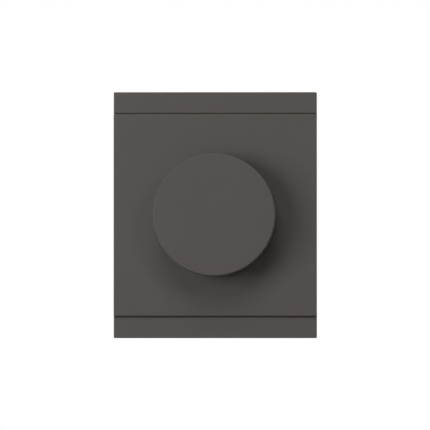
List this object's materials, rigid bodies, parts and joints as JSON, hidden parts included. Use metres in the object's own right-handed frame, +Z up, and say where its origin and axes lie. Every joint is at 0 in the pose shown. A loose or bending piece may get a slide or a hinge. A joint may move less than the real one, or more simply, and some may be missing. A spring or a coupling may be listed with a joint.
{
  "type": "rotary dimmer switch",
  "caption": "Wall-mounted rotary dimmer switch: a round push-and-turn knob on a square cover plate between frame bars, with the dimmer insert, its terminals and mounting frame behind.",
  "frame": {"origin": "centre of the four wall screw holes, on the plane of the wall's surface, on the knob's axis", "axes": "+Z up the wall, +X to the viewer's right, +Y into the wall, so the knob faces -Y"},
  "size_m": [0.05, 0.0478, 0.0606],
  "materials": {
    "coal_plastic": "fine matt moulded",
    "frame_plastic": "plain moulded",
    "case_plastic": "plain moulded",
    "support_aluminium": "rolled sheet",
    "zinc_steel": "zinc plated",
    "spring_steel": "bright drawn",
    "spindle_steel": "turned",
    "bushing_metal": "turned",
    "contact_brass": "stamped",
    "white_plastic": "moulded",
    "switch_plastic": "moulded",
    "track_laminate": "pressed laminate",
    "board_laminate": "coated laminate",
    "ferrite": "sintered",
    "copper_wire": "enamelled",
    "fuse_glass": "clear",
    "fuse_metal": "plated",
    "film_plastic": "moulded box",
    "can_sleeve": "shrunk sleeve",
    "chip_plastic": "moulded",
    "pad_rubber": "silicone sheet",
    "rivet_aluminium": "upset",
    "trimmer_plastic": "moulded"
  },
  "bodies": {
    "fixed": {"bushing_nut": "zinc_steel", "can_capacitor": "can_sleeve", "case_front": "case_plastic", "case_rear": "case_plastic", "case_screws": "zinc_steel", "choke_core": "ferrite", "choke_winding": "copper_wire", "circuit_board": "board_laminate", "control_bushing": "bushing_metal", "control_shell": "zinc_steel", "controller_chip": "chip_plastic", "cover_plate": "coal_plastic", "design_frame": "coal_plastic", "film_capacitor": "film_plastic", "fixed_contacts": "contact_brass", "fuse_caps": "fuse_metal", "fuse_clips": "contact_brass", "fuse_tube": "fuse_glass", "insulating_pads": "pad_rubber", "lock_washer": "zinc_steel", "mounting_frame": "frame_plastic", "power_transistors": "chip_plastic", "return_spring": "spring_steel", "support_plate": "support_aluminium", "switch_base": "switch_plastic", "terminal_bars": "contact_brass", "track_disc": "track_laminate", "track_pins": "contact_brass", "transistor_rivets": "rivet_aluminium", "trimmer_body": "trimmer_plastic"},
    "dial": {"wiper_rotor": "white_plastic", "wiper_contact": "contact_brass"},
    "knob": {"rotary_knob": "coal_plastic", "grip_ring": "spring_steel", "spindle": "spindle_steel", "retaining_ring": "spring_steel"},
    "plunger": {"switch_plunger": "white_plastic", "contact_bridge": "contact_brass"},
    "trimmer": {"trimmer_spindle": "white_plastic"},
    "screw_1": {"terminal_screw_1": "zinc_steel"},
    "clamp_1": {"terminal_clamp_1": "zinc_steel"},
    "screw_2": {"terminal_screw_2": "zinc_steel"},
    "clamp_2": {"terminal_clamp_2": "zinc_steel"},
    "screw_3": {"terminal_screw_3": "zinc_steel"},
    "clamp_3": {"terminal_clamp_3": "zinc_steel"}
  },
  "joints": [
    {"name": "dial_turn", "type": "hinge", "parent": "fixed", "child": "dial", "pos_m": [0, 0, 0], "axis": [0, -1, 0], "range_deg": [-150, 150]},
    {"name": "knob_push", "type": "slide", "parent": "dial", "child": "knob", "axis": [0, 1, 0], "range_m": [0, 0.0015], "stiffness_N_per_m": 1500, "springref_m": -0.0015},
    {"name": "plunger_push", "type": "slide", "parent": "fixed", "child": "plunger", "axis": [0, 1, 0], "range_m": [0, 0.0015], "deforming": ["return_spring"]},
    {"name": "trimmer_turn", "type": "hinge", "parent": "fixed", "child": "trimmer", "pos_m": [0.0145, 0, -0.0072], "axis": [0, -1, 0], "range_deg": [-105, 105]},
    {"name": "terminal_screw_1_turn", "type": "hinge", "parent": "fixed", "child": "screw_1", "pos_m": [-0.0105, 0.0196, 0], "axis": [0, 0, 1], "range_deg": [0, 1980]},
    {"name": "terminal_clamp_1_slide", "type": "slide", "parent": "fixed", "child": "clamp_1", "axis": [0, 0, -1], "range_m": [0, 0.00385]},
    {"name": "terminal_screw_2_turn", "type": "hinge", "parent": "fixed", "child": "screw_2", "pos_m": [0, 0.0196, 0], "axis": [0, 0, 1], "range_deg": [0, 1980]},
    {"name": "terminal_clamp_2_slide", "type": "slide", "parent": "fixed", "child": "clamp_2", "axis": [0, 0, -1], "range_m": [0, 0.00385]},
    {"name": "terminal_screw_3_turn", "type": "hinge", "parent": "fixed", "child": "screw_3", "pos_m": [0.0105, 0.0196, 0], "axis": [0, 0, 1], "range_deg": [0, 1980]},
    {"name": "terminal_clamp_3_slide", "type": "slide", "parent": "fixed", "child": "clamp_3", "axis": [0, 0, -1], "range_m": [0, 0.00385]}
  ],
  "couplings": [
    {"joint": "plunger_push", "follows": "knob_push", "ratio": 1},
    {"joint": "terminal_screw_1_turn", "follows": "terminal_clamp_1_slide", "rad_per_m": 8976},
    {"joint": "terminal_screw_2_turn", "follows": "terminal_clamp_2_slide", "rad_per_m": 8976},
    {"joint": "terminal_screw_3_turn", "follows": "terminal_clamp_3_slide", "rad_per_m": 8976}
  ]
}
